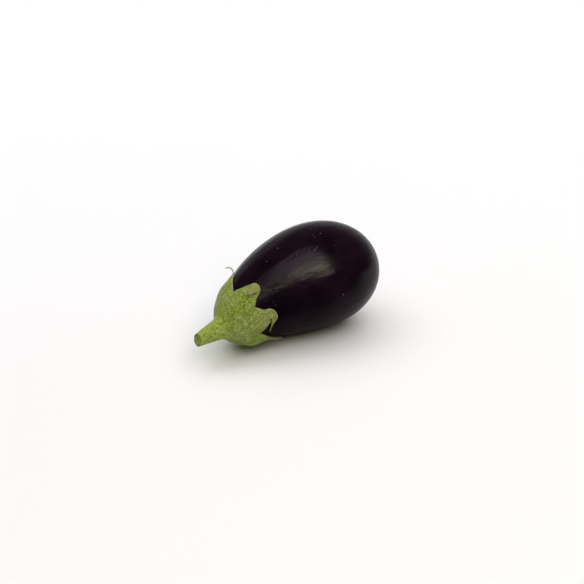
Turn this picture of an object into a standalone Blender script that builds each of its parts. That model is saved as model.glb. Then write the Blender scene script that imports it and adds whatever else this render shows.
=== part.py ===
"""Eggplant as picked: one dark fruit, and the green calyx that grew as one piece with its cut stem.

The fruit's axis runs along X, from the stem at -X to the blossom end at +X. The fruit lies on a small
flat spot, whose middle is the origin, with its neck a little lower than its blossom end.
"""

import math
from dataclasses import dataclass

import bmesh
import bpy
import numpy as np
from mathutils import Vector

MM = 0.001

# Fruit: length between its two ends, and the terms of its outline
FRUIT_LENGTH = 136.6 * MM
HALF_WIDTH = 38.9 * MM
NECK_SLIMMING = 10.2 * MM
END_FULLNESS = 0.4 * MM
SHOULDER_FULLNESS = 1.0 * MM
ARCH_SIDE = 7.6 * MM
SCAR_RADIUS = 3.2 * MM
SCAR_DEPTH = 0.9 * MM
FRUIT_SIDES = 56
FRUIT_ROWS = 40

# How it lies: the neck is lower than the blossom end, on a flat as deep as the skin gives
REST_TILT = math.radians(10.5)
REST_DEPTH = 0.65 * MM

# Stem: its foot is where it leaves the calyx, farther out on its flared side. The cut is a little aslant.
STEM_FOOT_FROM_FRUIT = 3.4 * MM
STEM_FOOT_FLARE = 1.0 * MM
FLARE_TOWARDS = math.radians(235)
STEM_CUT_FROM_FRUIT = 21.8 * MM
STEM_FOOT_RADIUS = 7.9 * MM
STEM_CUT_RADIUS = 4.7 * MM
STEM_ABOVE_AXIS = 1.6 * MM
STEM_RIB = 0.03
STEM_NARROWING = 0.9
CUT_SLOPE_SIDE = -0.02
CUT_SLOPE_UP = 0.34
CUT_EDGE_ROUND = 0.5 * MM
CUT_EDGE_PROUD = 0.3 * MM
CUT_INNER_SHARE = 0.45
PITH_HOLLOW = 0.4 * MM

# Calyx: a cap round the neck that parts into lobes at the valleys
GAP = 0.3 * MM
CAP_THICKNESS = 3.1 * MM
TIP_THICKNESS = 0.8 * MM
THINNING_RATE = 1.6
BLUNTNESS = 0.4
FREE_FROM_BASE = 0.3
DOME_FULL_AT = 0.5
PINCH_FROM = 0.3
PINCH_TO = 0.5
WAVES_ALONG = 9.0
WAVES_ACROSS = 2.0
EDGE_THINNING = 0.25
SHOULDER_AT = 13.5 * MM
SHOULDER_LIFT = 3.2 * MM
FILLET_ON_CAP = 3.2 * MM
FILLET_ON_STEM = 3.0 * MM
TIP_HALF_WIDTH = 0.45 * MM

# A plump lobe bulges at the first of these places along the skin and has a waist at the second
PLUMP_AT = 28.0 * MM
PLUMP_REACH = 8.0 * MM
WAIST_AT = 15.0 * MM
WAIST_REACH = 5.0 * MM
WAIST_SHARE = 0.6

ACROSS = 8
ALONG = 16
CAP_ROWS = 5
FILLET_ROWS = 6
STEM_ROWS = 8
INNER_ROWS = 6
CURL_WEIGHT = 0.9
LINE_STEPS = 400


@dataclass
class Lobe:
    """One lobe of the calyx. It starts at a valley and runs to the next lobe's valley."""

    valley_angle: float
    valley_at: float
    reach: float
    taper: float
    blunt: float = 0.0
    lean: float = 0.0
    rise: float = 0.6 * MM
    wave: float = 0.3 * MM
    dome: float = 0.0
    plump: float = 0.0
    pinch: float = 0.0
    tip_half_width: float = TIP_HALF_WIDTH
    curls: tuple = ()
    turns: tuple = ()


# Angles are in degrees round the fruit: 0 is +Y, 90 is up. A curl or turn is (from, to, degrees), with
# from and to as shares of the lobe's length. A curl lifts the lobe and rolls it back, and a turn bends it
# aside. A dome sets the fold of a curl back at its sides, so that it is round. Plump is how far it bulges,
# and a pinch narrows it on the side that it turns to.
LOBES = (
    Lobe(43.0, 30.0 * MM, 23.6 * MM, taper=3.2, lean=-15.0, rise=1.0 * MM, tip_half_width=0.62 * MM,
         curls=((0.42, 0.94, 136.0),)),
    Lobe(95.0, 27.3 * MM, 26.2 * MM, taper=1.9, blunt=0.50, lean=2.5, rise=0.4 * MM, dome=2.5 * MM,
         curls=((0.46, 0.72, 173.0),)),
    Lobe(146.0, 33.9 * MM, 25.1 * MM, taper=1.6, lean=-9.5, rise=1.2 * MM,
         turns=((0.34, 0.465, 62.0), (0.475, 0.575, 60.0)), pinch=0.55),
    Lobe(199.5, 31.8 * MM, 22.7 * MM, taper=1.5, blunt=0.18, lean=4.0, rise=1.9 * MM, plump=1.8 * MM,
         tip_half_width=2.3 * MM),
    Lobe(246.0, 29.5 * MM, 18.5 * MM, taper=1.3, blunt=0.1, lean=-5.0, rise=0.2 * MM, wave=0.1 * MM),
    Lobe(297.0, 31.5 * MM, 21.5 * MM, taper=1.4, lean=6.0, rise=0.8 * MM, curls=((0.62, 1.0, 75.0),)),
    Lobe(349.0, 29.0 * MM, 20.5 * MM, taper=1.7, blunt=0.2, lean=-6.0, curls=((0.70, 1.0, 30.0),)),
)


def outline_radius(psi):
    """Radius of the fruit, for psi from 0 at the stem to pi at the blossom end."""
    return np.sin(psi) * (
        HALF_WIDTH
        - NECK_SLIMMING * np.cos(psi)
        + END_FULLNESS * np.cos(2 * psi)
        + SHOULDER_FULLNESS * np.cos(3 * psi)
    )


def share_along(psi):
    return (1 - np.cos(psi)) / 2


OUTLINE_PSI = np.linspace(0.0, math.pi, 1441)
OUTLINE_X = FRUIT_LENGTH * share_along(OUTLINE_PSI)
OUTLINE_R = outline_radius(OUTLINE_PSI)
OUTLINE_AT = np.concatenate(([0.0], np.cumsum(np.hypot(np.diff(OUTLINE_X), np.diff(OUTLINE_R)))))


def around(theta):
    return Vector((0.0, math.cos(theta), math.sin(theta)))


def centre_line(psi):
    """Point inside the fruit on its slightly arched middle line."""
    t = share_along(psi)
    arch = 8 * t * (1 - t) ** 2
    return Vector((FRUIT_LENGTH * (t - 0.5), ARCH_SIDE * arch, 0.0))


def fruit_point(psi, theta):
    point = centre_line(psi) + around(theta) * float(outline_radius(psi))
    if psi > math.pi / 2:
        hollow = math.exp(-((outline_radius(psi) / SCAR_RADIUS) ** 2))
        point.x -= SCAR_DEPTH * hollow
    return point


def skin_point(at, theta, lift):
    """Point at a distance along the skin from the stem's end, raised square off the skin by lift."""
    psi = float(np.interp(at, OUTLINE_AT, OUTLINE_PSI))
    step = 0.004
    low, high = max(psi - step, 0.0), psi + step
    dx = FRUIT_LENGTH * (share_along(high) - share_along(low))
    dr = outline_radius(high) - outline_radius(low)
    size = math.hypot(dx, dr)
    point = centre_line(psi) + around(theta) * (float(outline_radius(psi)) + lift * dx / size)
    point.x -= lift * dr / size
    return point


def tilt(point):
    """The point as it lies, before it is moved to the origin."""
    return Vector((
        point.x * math.cos(REST_TILT) - point.z * math.sin(REST_TILT),
        point.y,
        point.x * math.sin(REST_TILT) + point.z * math.cos(REST_TILT),
    ))


def lowest_point():
    """Where the tilted fruit would first touch a table."""
    under = (
        tilt(fruit_point(psi, math.radians(degrees)))
        for psi in np.linspace(1.2, 2.0, 161)
        for degrees in np.linspace(255.0, 285.0, 121)
    )
    return min(under, key=lambda point: point.z)


TOUCH = lowest_point()
ORIGIN = Vector((TOUCH.x, TOUCH.y, TOUCH.z + REST_DEPTH))


def laid(point):
    return tilt(point) - ORIGIN


def skin_material(name, colour, roughness):
    material = bpy.data.materials.new(name)
    material.use_nodes = True
    shader = material.node_tree.nodes["Principled BSDF"]
    shader.inputs["Base Color"].default_value = (*colour, 1.0)
    shader.inputs["Roughness"].default_value = roughness
    shader.inputs["Metallic"].default_value = 0.0
    return material


def finish_object(name, bm, material):
    """Turns the mesh into an object whose faces point out, shaded smooth except at sharp edges."""
    bmesh.ops.recalc_face_normals(bm, faces=bm.faces)
    mesh = bpy.data.meshes.new(name)
    bm.to_mesh(mesh)
    bm.free()
    mesh.materials.append(material)
    mesh.shade_smooth()
    mesh.set_sharp_from_angle(angle=math.radians(50))
    obj = bpy.data.objects.new(name, mesh)
    bpy.context.scene.collection.objects.link(obj)
    return obj


def make_fruit():
    bm = bmesh.new()
    bmesh.ops.create_uvsphere(bm, u_segments=FRUIT_SIDES, v_segments=FRUIT_ROWS, radius=1.0)
    for vertex in bm.verts:
        psi = math.acos(max(-1.0, min(1.0, -vertex.co.z)))
        theta = math.atan2(vertex.co.y, vertex.co.x)
        vertex.co = laid(fruit_point(psi, theta))
    everything = list(bm.verts) + list(bm.edges) + list(bm.faces)
    bmesh.ops.bisect_plane(
        bm, geom=everything, dist=1e-7, plane_co=(0, 0, 0), plane_no=(0, 0, -1), clear_outer=True
    )
    bmesh.ops.remove_doubles(bm, verts=bm.verts, dist=0.02 * MM)
    edges = [edge for edge in bm.edges if edge.is_boundary]
    bmesh.ops.contextual_create(bm, geom=edges)
    return finish_object("fruit", bm, skin_material("skin", (0.012, 0.004, 0.010), 0.18))


def between(low, high, share):
    return low + (high - low) * share


def smooth_step(low, high, value):
    share = min(1.0, max(0.0, (value - low) / (high - low)))
    return share * share * (3 - 2 * share)


def bent(bends, share):
    """Angle in radians that a lobe's bends add up to at this share of its length."""
    return math.radians(sum(degrees * smooth_step(low, high, share) for low, high, degrees in bends))


@dataclass
class Spot:
    """A place on a lobe's middle line, in skin coordinates: along, round and off the fruit."""

    share: float
    at: float
    theta: float
    lift: float
    roll: float
    heading: float


def middle_line(lobe, start_at, start_theta):
    """Closely set spots down the lobe's middle, and the shares of its length where its rows go."""
    step = lobe.reach / LINE_STEPS
    spots = [Spot(0.0, start_at, start_theta, GAP, 0.0, math.radians(lobe.lean))]
    effort = [0.0]
    for number in range(1, LINE_STEPS + 1):
        last = spots[-1]
        share = number / LINE_STEPS
        roll = bent(lobe.curls, share)
        heading = math.radians(lobe.lean) + bent(lobe.turns, share)
        radius = float(np.interp(last.at, OUTLINE_AT, OUTLINE_R)) + last.lift
        rise = lobe.rise * (share**2 - last.share**2) * math.cos(roll)
        spots.append(Spot(
            share,
            last.at + step * math.cos(roll) * math.cos(heading),
            last.theta + step * math.cos(roll) * math.sin(heading) / radius,
            last.lift + step * math.sin(roll) + rise,
            roll,
            heading,
        ))
        turned = abs(roll - last.roll) + abs(heading - last.heading)
        effort.append(effort[-1] + 1.0 / LINE_STEPS + CURL_WEIGHT * turned / math.pi)
    wanted = np.linspace(0.0, effort[-1], ALONG + 1)
    return spots, np.interp(wanted, effort, np.linspace(0.0, 1.0, LINE_STEPS + 1))


def lobe_half_width(lobe, base, share, across):
    left = 1 - share
    width = (1 - lobe.blunt) * left**lobe.taper + lobe.blunt * left**BLUNTNESS
    pinch = lobe.pinch * smooth_step(PINCH_FROM, PINCH_TO, share) if across > 0 else 0.0
    return max(base * width, lobe.tip_half_width) * (1 - pinch)


def thickness(share, across):
    middle = between(CAP_THICKNESS, TIP_THICKNESS, min(1.0, THINNING_RATE * share))
    return middle * (1 - EDGE_THINNING * across**2 * (1 - share))


def bulge(lobe, at, across):
    """What a plump lobe adds to the thickness, at a distance along the skin."""
    full = math.exp(-(((at - PLUMP_AT) / PLUMP_REACH) ** 2))
    waist = math.exp(-(((at - WAIST_AT) / WAIST_REACH) ** 2))
    return lobe.plump * (1 - across**2) * (full - WAIST_SHARE * waist)


def valley_line(lobe, following, across):
    """Place on the line between a lobe's two valleys, for across from -1 to 1."""
    share = (across + 1) / 2
    turn = (following.valley_angle - lobe.valley_angle) % 360
    theta = math.radians(lobe.valley_angle + turn * share)
    return between(lobe.valley_at, following.valley_at, share), theta


def lobe_point(lobe, following, spots, share, across):
    """The under and the outer point of a lobe, at a share of its length and across from -1 to 1."""
    turn = math.radians((following.valley_angle - lobe.valley_angle) % 360)
    base_radius = float(np.interp(spots[0].at, OUTLINE_AT, OUTLINE_R))
    spot = spots[round(share * (len(spots) - 1))]
    aside = across * lobe_half_width(lobe, turn / 2 * base_radius, share, across)
    base_at, _ = valley_line(lobe, following, across)
    slant = (base_at - spots[0].at) * (1 - share) ** 2
    free = smooth_step(0.0, FREE_FROM_BASE, share)
    setback = lobe.dome * (across**2 + across**4) / 2 * smooth_step(0.0, DOME_FULL_AT, share)
    at = spot.at + slant - setback - math.sin(spot.heading) * aside * free
    radius = float(np.interp(at, OUTLINE_AT, OUTLINE_R)) + spot.lift
    turned = between(1.0, math.cos(spot.heading), free)
    theta = spot.theta + aside * turned / between(base_radius, radius, free)
    wave = lobe.wave * abs(across) * share * (1 + math.sin(WAVES_ALONG * share + WAVES_ACROSS * across))
    lift = spot.lift + wave * max(0.0, math.cos(spot.roll))
    deep = thickness(share, across) + bulge(lobe, at, across)
    back = math.sin(spot.roll) * deep
    outer_at = at - back * math.cos(spot.heading)
    outer_theta = theta - back * math.sin(spot.heading) / radius
    outer = skin_point(outer_at, outer_theta, lift + math.cos(spot.roll) * deep)
    return skin_point(at, theta, lift), outer


def lobe_sheet(lobe, following):
    """Points of the lobe's two faces: rows from its base to its tip, each a list of (under, outer)."""
    start_at, start_theta = valley_line(lobe, following, 0.0)
    spots, shares = middle_line(lobe, start_at, start_theta)
    columns = [2 * column / ACROSS - 1 for column in range(ACROSS + 1)]
    return [[lobe_point(lobe, following, spots, share, across) for across in columns] for share in shares]


def stem_radius(share, across):
    """Stem radius, for share from 0 at its foot to 1 at the cut, with a rib in line with each lobe."""
    rib = 1 + STEM_RIB * math.cos(math.pi * across)
    return between(STEM_FOOT_RADIUS, STEM_CUT_RADIUS, share**STEM_NARROWING) * rib


def stem_point(share, theta, across):
    radius = stem_radius(share, across)
    point = around(theta) * radius
    aslant = CUT_SLOPE_SIDE * point.y + CUT_SLOPE_UP * point.z
    point.z += STEM_ABOVE_AXIS
    foot = STEM_FOOT_FROM_FRUIT + STEM_FOOT_FLARE * (1 + math.cos(theta - FLARE_TOWARDS)) / 2
    point.x = aslant * share - FRUIT_LENGTH / 2 - between(foot, STEM_CUT_FROM_FRUIT, share)
    return point


def fillet(start, start_handle, end_handle, end, share):
    left = 1 - share
    return (
        start * left**3
        + start_handle * 3 * left**2 * share
        + end_handle * 3 * left * share**2
        + end * share**3
    )


def outer_column(lobe, base_at, theta, across):
    """Points of one column of the outside, from the lobes' base over the cap and down the stem."""
    base_lift = GAP + thickness(0.0, across)
    points = []
    for row in range(1, CAP_ROWS + 1):
        share = row / CAP_ROWS
        at = between(base_at, SHOULDER_AT, share)
        lift = between(base_lift, SHOULDER_LIFT, share) + bulge(lobe, at, across)
        points.append(skin_point(at, theta, lift))
    shoulder = points[-1]
    inward = (skin_point(SHOULDER_AT - MM, theta, lift) - shoulder).normalized()
    foot = stem_point(0.0, theta, across)
    up_stem = (foot - stem_point(1 / STEM_ROWS, theta, across)).normalized()
    on_cap = shoulder + inward * FILLET_ON_CAP
    on_stem = foot + up_stem * FILLET_ON_STEM
    for row in range(1, FILLET_ROWS + 1):
        points.append(fillet(shoulder, on_cap, on_stem, foot, row / FILLET_ROWS))
    for row in range(1, STEM_ROWS + 1):
        points.append(stem_point(row / STEM_ROWS, theta, across))
    return points


def cut_face_column(theta, across):
    """Points from the cut's rounded edge towards its middle."""
    edge = stem_point(1.0, theta, across)
    middle = Vector((-FRUIT_LENGTH / 2 - STEM_CUT_FROM_FRUIT, 0.0, STEM_ABOVE_AXIS))
    inward = (middle - edge).normalized()
    rim = edge + inward * CUT_EDGE_ROUND - Vector((CUT_EDGE_PROUD, 0, 0))
    return [rim, rim.lerp(middle, CUT_INNER_SHARE)]


class Sheet:
    """Collects points and triangles of the calyx, laid as the eggplant lies."""

    def __init__(self):
        self.bm = bmesh.new()

    def vertex(self, point):
        return self.bm.verts.new(laid(point))

    def quad(self, a, b, c, d):
        self.bm.faces.new((a, b, c))
        self.bm.faces.new((a, c, d))

    def strip(self, one, other):
        for left in range(len(one) - 1):
            self.quad(one[left], one[left + 1], other[left + 1], other[left])


def make_calyx_and_stem():
    sheet = Sheet()
    base_under, base_outer = [], []
    columns = []
    sheets = []
    for number, lobe in enumerate(LOBES):
        following = LOBES[(number + 1) % len(LOBES)]
        sheets.append(lobe_sheet(lobe, following))
        for column in range(ACROSS):
            across = 2 * column / ACROSS - 1
            base_at, theta = valley_line(lobe, following, across)
            deep = thickness(0.0, across) + bulge(lobe, base_at, across)
            columns.append((lobe, base_at, theta, across))
            base_under.append(sheet.vertex(skin_point(base_at, theta, GAP)))
            base_outer.append(sheet.vertex(skin_point(base_at, theta, GAP + deep)))
    count = len(columns)

    # Lobes, each standing on its own stretch of the base ring
    for number, rows in enumerate(sheets):
        ring = [(number * ACROSS + column) % count for column in range(ACROSS + 1)]
        under = [base_under[place] for place in ring]
        outer = [base_outer[place] for place in ring]
        for row in rows[1:]:
            next_under = [sheet.vertex(pair[0]) for pair in row]
            next_outer = [sheet.vertex(pair[1]) for pair in row]
            sheet.strip(outer, next_outer)
            sheet.strip(under, next_under)
            sheet.strip((under[0], next_under[0]), (outer[0], next_outer[0]))
            sheet.strip((under[-1], next_under[-1]), (outer[-1], next_outer[-1]))
            under, outer = next_under, next_outer
        sheet.strip(under, outer)

    # Outside of the cap and the stem, then the cut face
    rings = [base_outer]
    outside = [outer_column(*column) + cut_face_column(*column[2:]) for column in columns]
    for level in range(len(outside[0])):
        rings.append([sheet.vertex(points[level]) for points in outside])
    middle_of_cut = Vector((PITH_HOLLOW - FRUIT_LENGTH / 2 - STEM_CUT_FROM_FRUIT, 0.0, STEM_ABOVE_AXIS))
    pith = sheet.vertex(middle_of_cut)

    # Inside of the cap, which follows the fruit
    inner_rings = [base_under]
    for row in range(1, INNER_ROWS):
        share = 1 - row / INNER_ROWS
        inner_rings.append([sheet.vertex(skin_point(at * share, theta, GAP)) for _, at, theta, _ in columns])
    inner_end = sheet.vertex(skin_point(0.0, 0.0, GAP))

    for stack, end in ((rings, pith), (inner_rings, inner_end)):
        for one, other in zip(stack, stack[1:]):
            sheet.strip(one + one[:1], other + other[:1])
        last = stack[-1]
        for place in range(count):
            sheet.bm.faces.new((last[place], last[(place + 1) % count], end))
    return finish_object("calyx_and_stem", sheet.bm, skin_material("calyx", (0.19, 0.24, 0.04), 0.6))


def main():
    for obj in list(bpy.data.objects):
        bpy.data.objects.remove(obj, do_unlink=True)
    make_fruit()
    make_calyx_and_stem()


main()
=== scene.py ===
import math

import bmesh
import bpy
import numpy as np
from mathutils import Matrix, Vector, noise


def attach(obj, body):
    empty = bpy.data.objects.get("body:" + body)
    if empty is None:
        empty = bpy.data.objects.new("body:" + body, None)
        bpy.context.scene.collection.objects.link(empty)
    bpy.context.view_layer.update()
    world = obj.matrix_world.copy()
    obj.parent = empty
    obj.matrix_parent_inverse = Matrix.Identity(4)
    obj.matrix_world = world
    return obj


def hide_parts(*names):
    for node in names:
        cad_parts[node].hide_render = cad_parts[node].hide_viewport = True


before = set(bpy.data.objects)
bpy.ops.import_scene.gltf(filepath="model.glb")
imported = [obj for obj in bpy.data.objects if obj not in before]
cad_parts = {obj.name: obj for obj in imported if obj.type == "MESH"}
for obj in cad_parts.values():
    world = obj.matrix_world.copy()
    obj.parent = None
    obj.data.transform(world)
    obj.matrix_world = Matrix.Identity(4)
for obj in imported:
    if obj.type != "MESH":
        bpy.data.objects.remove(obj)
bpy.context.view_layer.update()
mm = 0.001
print("frame loaded:", ", ".join(sorted(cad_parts)))


# Small helpers for node trees
def plug(tree, value, socket):
    if isinstance(value, bpy.types.NodeSocket):
        tree.links.new(value, socket)
    else:
        socket.default_value = value


def setInputs(tree, node, given):
    for label, value in given.items():
        plug(tree, value, node.inputs[label])


def addNode(tree, kind, given=None, **settings):
    node = tree.nodes.new(kind)
    for name, value in settings.items():
        setattr(node, name, value)
    setInputs(tree, node, given or {})
    return node


def maths(tree, operation, *values):
    return addNode(tree, "ShaderNodeMath", dict(enumerate(values)), operation=operation).outputs[0]


def times(tree, first, second):
    return maths(tree, "MULTIPLY", first, second)


def vectorMaths(tree, operation, *values):
    node = addNode(tree, "ShaderNodeVectorMath", dict(enumerate(values)), operation=operation)
    return node.outputs["Value" if operation in ("LENGTH", "DISTANCE", "DOT_PRODUCT") else "Vector"]


def joined(tree, x, y, z):
    return addNode(tree, "ShaderNodeCombineXYZ", {"X": x, "Y": y, "Z": z}).outputs[0]


def ramp(tree, value, low, high, fromValue=0.0, toValue=1.0):
    given = {"Value": value, "From Min": low, "From Max": high, "To Min": fromValue, "To Max": toValue}
    return addNode(tree, "ShaderNodeMapRange", given, interpolation_type="SMOOTHSTEP").outputs["Result"]


def coordinates(tree, vector):
    return addNode(tree, "ShaderNodeSeparateXYZ", {"Vector": vector}).outputs


# Form of the fruit. Its skin and the calyx that hugs it both follow these lines.
fruitForm = {
    "length": 136.6 * mm,
    "halfWidth": 38.9 * mm,
    "neckSlimming": 10.2 * mm,
    "endFullness": 0.4 * mm,
    "shoulderFullness": 1.0 * mm,
    "bend": 7.6 * mm,           # how far the middle line bows away from the camera
    "scarRadius": 3.2 * mm,
    "scarDepth": 0.9 * mm,
    "swell": 0.22 * mm,         # slow unevenness of the skin
    "tilt": math.radians(10.5),  # the neck lies lower than the blossom end
    "flatDepth": 0.65 * mm,
    "sides": 184,
    "rows": 208,
}


def outlineWidth(c):
    # c is the cosine of psi, which runs from 0 at the stem to pi at the blossom end
    form = fruitForm
    return (form["halfWidth"] - form["neckSlimming"] * c + form["endFullness"] * (2 * c**2 - 1)
            + form["shoulderFullness"] * (4 * c**3 - 3 * c))


def outlineAt(psi):
    c = np.cos(psi)
    return fruitForm["length"] * (1 - c) / 2, np.sin(psi) * outlineWidth(c)


outlinePsi = np.linspace(0.0, math.pi, 1441)
outlineX, outlineR = outlineAt(outlinePsi)
outlineDistance = np.concatenate(([0.0], np.cumsum(np.hypot(np.diff(outlineX), np.diff(outlineR)))))


def skinPoint(distance, theta, lift):
    # distance along the skin from the stem's end, angle round the fruit, height square off the skin
    psi = np.interp(distance, outlineDistance, outlinePsi)
    lowX, lowR = outlineAt(np.maximum(psi - 0.004, 0.0))
    highX, highR = outlineAt(psi + 0.004)
    size = np.hypot(highX - lowX, highR - lowR)
    radius = outlineAt(psi)[1] + lift * (highX - lowX) / size
    t = (1 - np.cos(psi)) / 2
    x = fruitForm["length"] * (t - 0.5) - lift * (highR - lowR) / size
    y = fruitForm["bend"] * 8 * t * (1 - t) ** 2 + radius * np.cos(theta)
    return np.stack(np.broadcast_arrays(x, y, radius * np.sin(theta)), axis=-1)


def tilted(points):
    tilt = fruitForm["tilt"]
    x = points[..., 0] * math.cos(tilt) - points[..., 2] * math.sin(tilt)
    z = points[..., 0] * math.sin(tilt) + points[..., 2] * math.cos(tilt)
    return np.stack((x, points[..., 1], z), axis=-1)


def restingPoint():
    # lowest point of the tilted fruit, raised by the depth of the flat spot
    psi = np.linspace(1.2, 2.0, 161)[:, None]
    distance = np.interp(psi, outlinePsi, outlineDistance)
    under = tilted(skinPoint(distance, np.radians(np.linspace(255.0, 285.0, 121)), 0.0))
    lowest = under.reshape(-1, 3)[under[..., 2].argmin()]
    return lowest + (0.0, 0.0, fruitForm["flatDepth"])


rest = restingPoint()


def laid(points):
    return tilted(np.asarray(points)) - rest


# Camera: the photograph's angle and distance, aimed so that the fruit's middle falls where it does there
cameraView = {
    "azimuth": -35.41,
    "elevation": 28.0,
    "distance": 1.033,
    "lens": 85.0,
    "imageSize": 584,
    "middleX": 298.0,
    "middleY": 288.4,
}


def makeCamera():
    a, e = math.radians(cameraView["azimuth"]), math.radians(cameraView["elevation"])
    back = Vector((math.sin(a) * math.cos(e), -math.cos(a) * math.cos(e), math.sin(e)))
    right = Vector((math.cos(a), math.sin(a), 0.0))
    up = back.cross(right)
    data = bpy.data.cameras.new("camera")
    data.lens = cameraView["lens"]
    data.sensor_width = 36.0
    metresPerPixel = cameraView["distance"] * data.sensor_width / data.lens / cameraView["imageSize"]
    half = cameraView["imageSize"] / 2
    aside = (cameraView["middleX"] - half) * metresPerPixel
    above = (half - cameraView["middleY"]) * metresPerPixel
    camera = bpy.data.objects.new("camera", data)
    middle = Vector(laid((0.0, 0.0, 0.0)))
    camera.location = middle + back * cameraView["distance"] - right * aside - up * above
    camera.rotation_mode = "QUATERNION"
    camera.rotation_quaternion = (-back).to_track_quat("-Z", "Y")
    bpy.context.scene.collection.objects.link(camera)
    bpy.context.scene.camera = camera


makeCamera()
print("camera placed")


# Colours and textures shared by the materials
def newMaterial(name):
    material = bpy.data.materials.new(name)
    material.use_nodes = True
    tree = material.node_tree
    return material, tree, tree.nodes["Principled BSDF"]


def noiseOn(tree, vector, scale, detail=3.0, rough=0.55, distortion=0.0):
    given = {"Vector": vector, "Scale": scale, "Detail": detail, "Roughness": rough, "Distortion": distortion}
    return addNode(tree, "ShaderNodeTexNoise", given).outputs["Fac"]


def blendColours(tree, share, first, second):
    node = addNode(tree, "ShaderNodeMix", data_type="RGBA")
    for value, socket in ((share, node.inputs[0]), (first, node.inputs[6]), (second, node.inputs[7])):
        plug(tree, (*value, 1.0) if isinstance(value, tuple) else value, socket)
    return node.outputs[2]


def bumpOn(tree, height, distance, strength=1.0, below=None):
    given = {"Strength": strength, "Distance": distance, "Height": height}
    if below is not None:
        given["Normal"] = below
    return addNode(tree, "ShaderNodeBump", given).outputs["Normal"]


def attributeOn(tree, name, output="Fac"):
    return addNode(tree, "ShaderNodeAttribute", attribute_name=name).outputs[output]


def channels(tree, colour):
    return addNode(tree, "ShaderNodeSeparateColor", {0: colour}).outputs


def objectPlace(tree):
    return addNode(tree, "ShaderNodeTexCoord").outputs["Object"]


skinLook = {
    "dark": (0.0045, 0.0016, 0.0040),
    "purple": (0.0115, 0.0040, 0.0098),
    "streak": (0.0180, 0.0075, 0.0170),
    "speck": (0.40, 0.36, 0.34),
    "scar": (0.17, 0.095, 0.045),
    "roughness": 0.19,
    "scarDeep": (0.07, 0.035, 0.02),
    "speckRadius": 0.30 * mm,
    "speckCells": 330.0,        # per metre
    "specklessShare": 0.91,
    # specks that show from the photograph's side: place in mm, then how strongly
    "specksAt": (
        (8.1, -42.5, 42.3, 1.0), (6.7, -2.9, 81.0, 0.4), (11.2, -3.0, 81.5, 0.3), (8.7, -12.6, 80.2, 0.5),
        (2.8, -13.3, 78.8, 0.2), (36.6, -20.1, 74.5, 0.4), (-22.0, -1.2, 72.0, 0.4), (-33.7, -3.8, 65.8, 0.3),
        (-38.1, -21.7, 52.6, 0.2), (-41.2, -26.0, 41.4, 0.3),
    ),
    "poreAt": (-4.4 * mm, -33.3 * mm, 61.3 * mm),
    "rippleDepth": 0.5 * mm,
    "fineDepth": 0.15 * mm,
    "poreDepth": 0.012 * mm,
    "corkDepth": 0.35 * mm,
    "ior": 1.31,
    "scratchAt": (-2.0 * mm, -21.2 * mm, 74.0 * mm),
    "scratchLength": 5.4 * mm,
    "scratchTurn": (0.0, math.radians(-27), math.radians(15)),
}


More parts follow.
